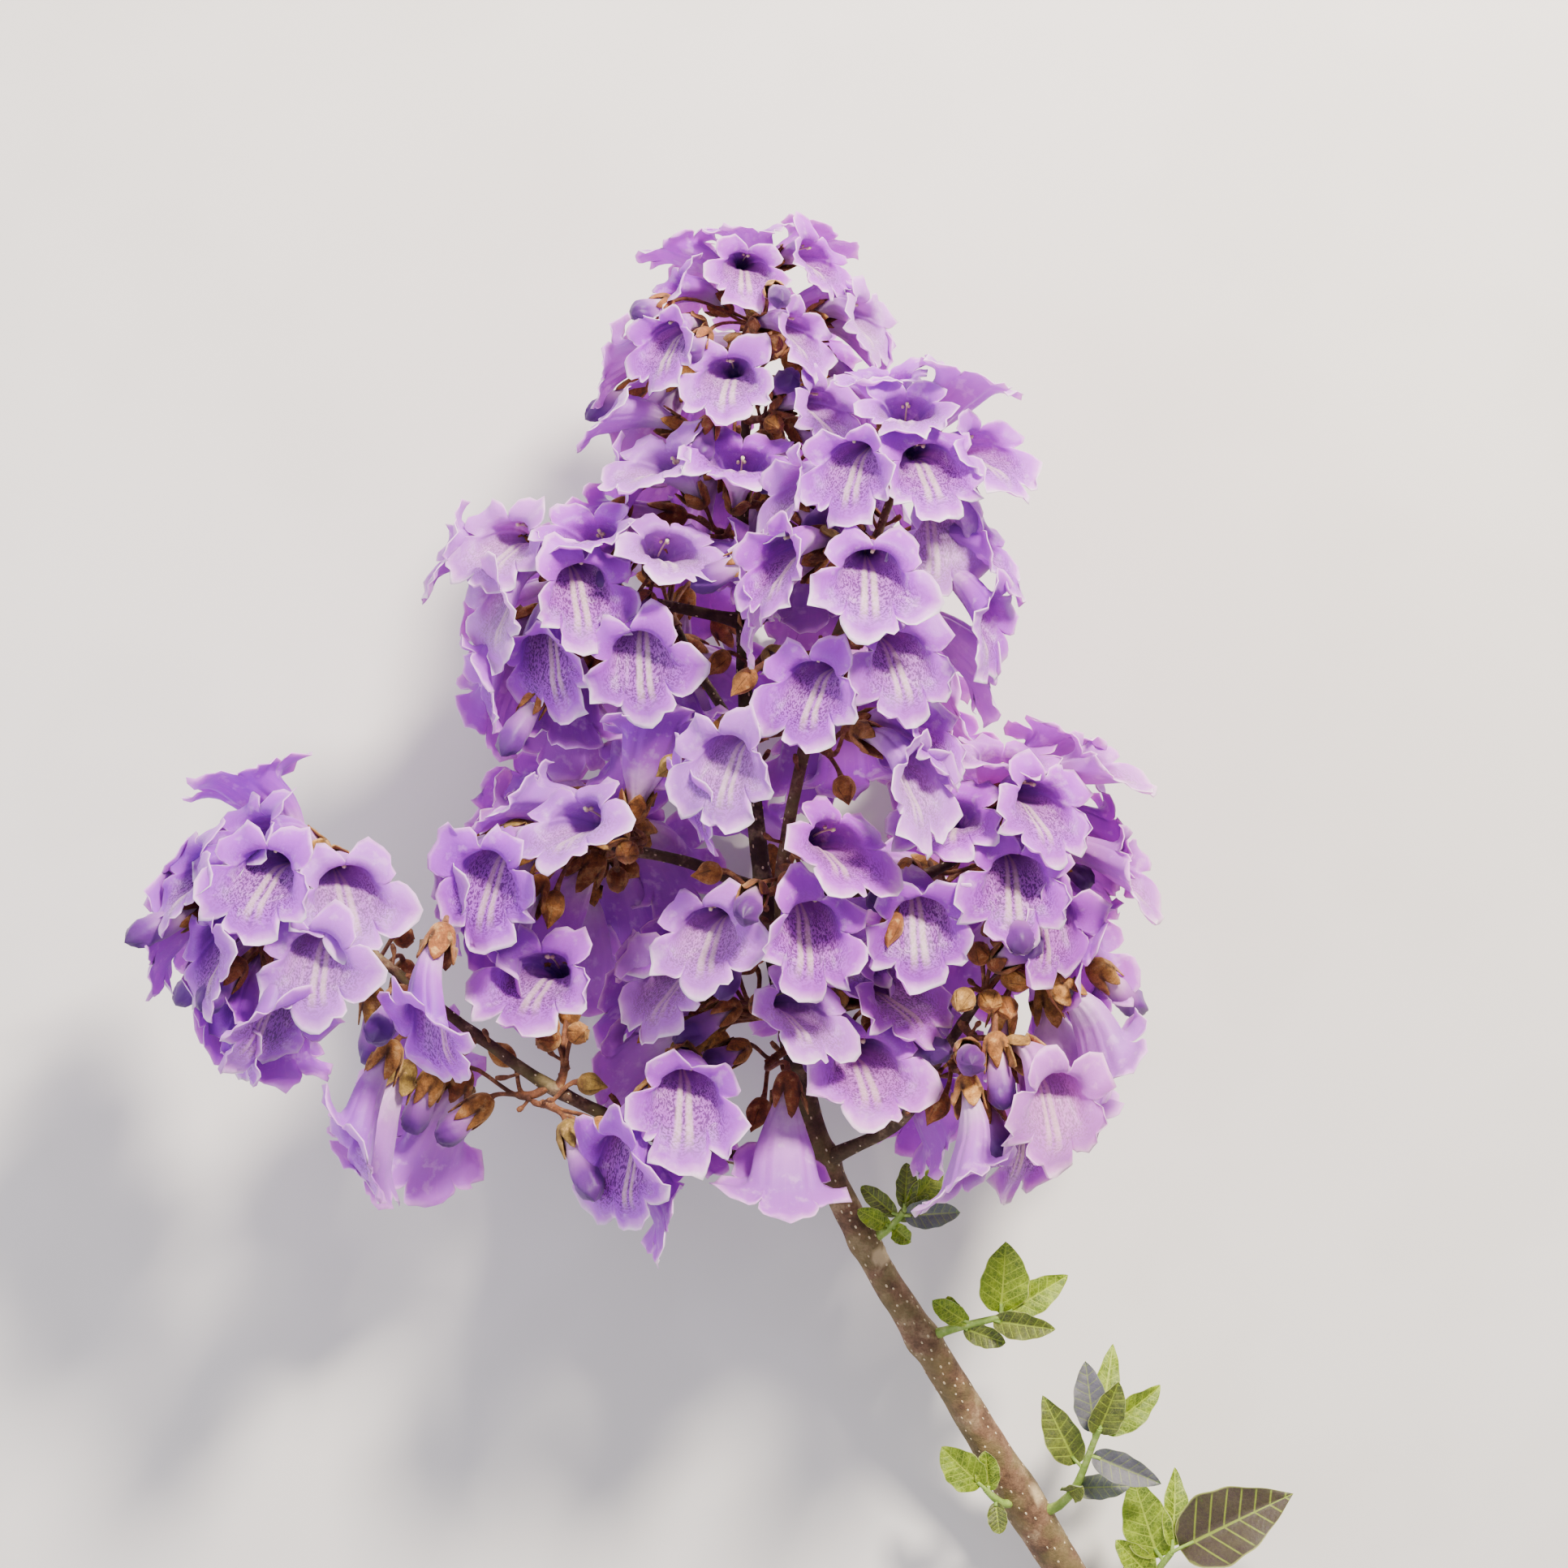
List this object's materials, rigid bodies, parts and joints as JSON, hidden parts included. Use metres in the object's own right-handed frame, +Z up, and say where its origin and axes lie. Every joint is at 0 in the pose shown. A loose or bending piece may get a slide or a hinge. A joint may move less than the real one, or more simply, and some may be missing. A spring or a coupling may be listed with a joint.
{
  "type": "cut flowering paulownia shoot",
  "caption": "Cut flowering shoot of a paulownia tree, laid down, with branched clusters of trumpet blooms and buds over leafy twigs.",
  "frame": {"origin": "under the middle of the shoot's box, on the surface that it lies on", "axes": "+Y up the shoot towards its flowering tip, +Z up from the surface that it lies on, +X across"},
  "size_m": [0.4126, 0.519, 0.2291],
  "materials": {
    "bark": "young bark, tan to dark brown, with pale lenticels",
    "blossom": "thin matt petals, lilac to near white, out of brown felted calyces",
    "leaf": "young leaves, yellow green, softly hairy"
  },
  "bodies": {
    "root": {"main_shoot": "bark", "back_low_branch": "bark", "back_mid_branch": "bark", "front_branch": "bark", "left_high_branch": "bark", "left_low_branch": "bark", "left_mid_branch": "bark", "right_low_branch": "bark", "right_mid_branch": "bark", "back_low_cyme": "blossom", "back_low_tip_cyme": "blossom", "back_mid_tip_cyme": "blossom", "centre_bud_cyme": "blossom", "far_left_cyme": "blossom", "front_high_cyme": "blossom", "front_high_left_cyme": "blossom", "front_high_right_cyme": "blossom", "front_left_cyme": "blossom", "front_mid_left_cyme": "blossom", "front_mid_right_cyme": "blossom", "front_right_cyme": "blossom", "front_tip_cyme": "blossom", "left_bud_cyme": "blossom", "left_hanging_cyme": "blossom", "left_high_back_cyme": "blossom", "left_high_front_cyme": "blossom", "left_high_low_cyme": "blossom", "left_high_tip_cyme": "blossom", "left_low_front_cyme": "blossom", "left_low_side_cyme": "blossom", "left_mid_back_cyme": "blossom", "left_mid_front_cyme": "blossom", "left_mid_tip_cyme": "blossom", "left_near_cyme": "blossom", "left_tip_back_cyme": "blossom", "low_front_cyme": "blossom", "low_hanging_cyme": "blossom", "low_right_back_cyme": "blossom", "low_right_cyme": "blossom", "right_bud_cyme": "blossom", "right_hanging_cyme": "blossom", "right_low_front_cyme": "blossom", "right_low_tip_cyme": "blossom", "right_mid_back_cyme": "blossom", "right_mid_front_cyme": "blossom", "right_mid_tip_cyme": "blossom", "top_back_cyme": "blossom", "top_cyme": "blossom", "top_left_cyme": "blossom", "top_right_cyme": "blossom", "upper_back_cyme": "blossom", "upper_bud_cyme": "blossom", "upper_front_cyme": "blossom", "upper_left_cyme": "blossom", "upper_right_cyme": "blossom", "foot_leaf_twig": "leaf", "left_leaf_twig": "leaf", "lower_leaf_twig": "leaf", "middle_leaf_twig": "leaf", "upper_leaf_twig": "leaf"}
  },
  "joints": []
}
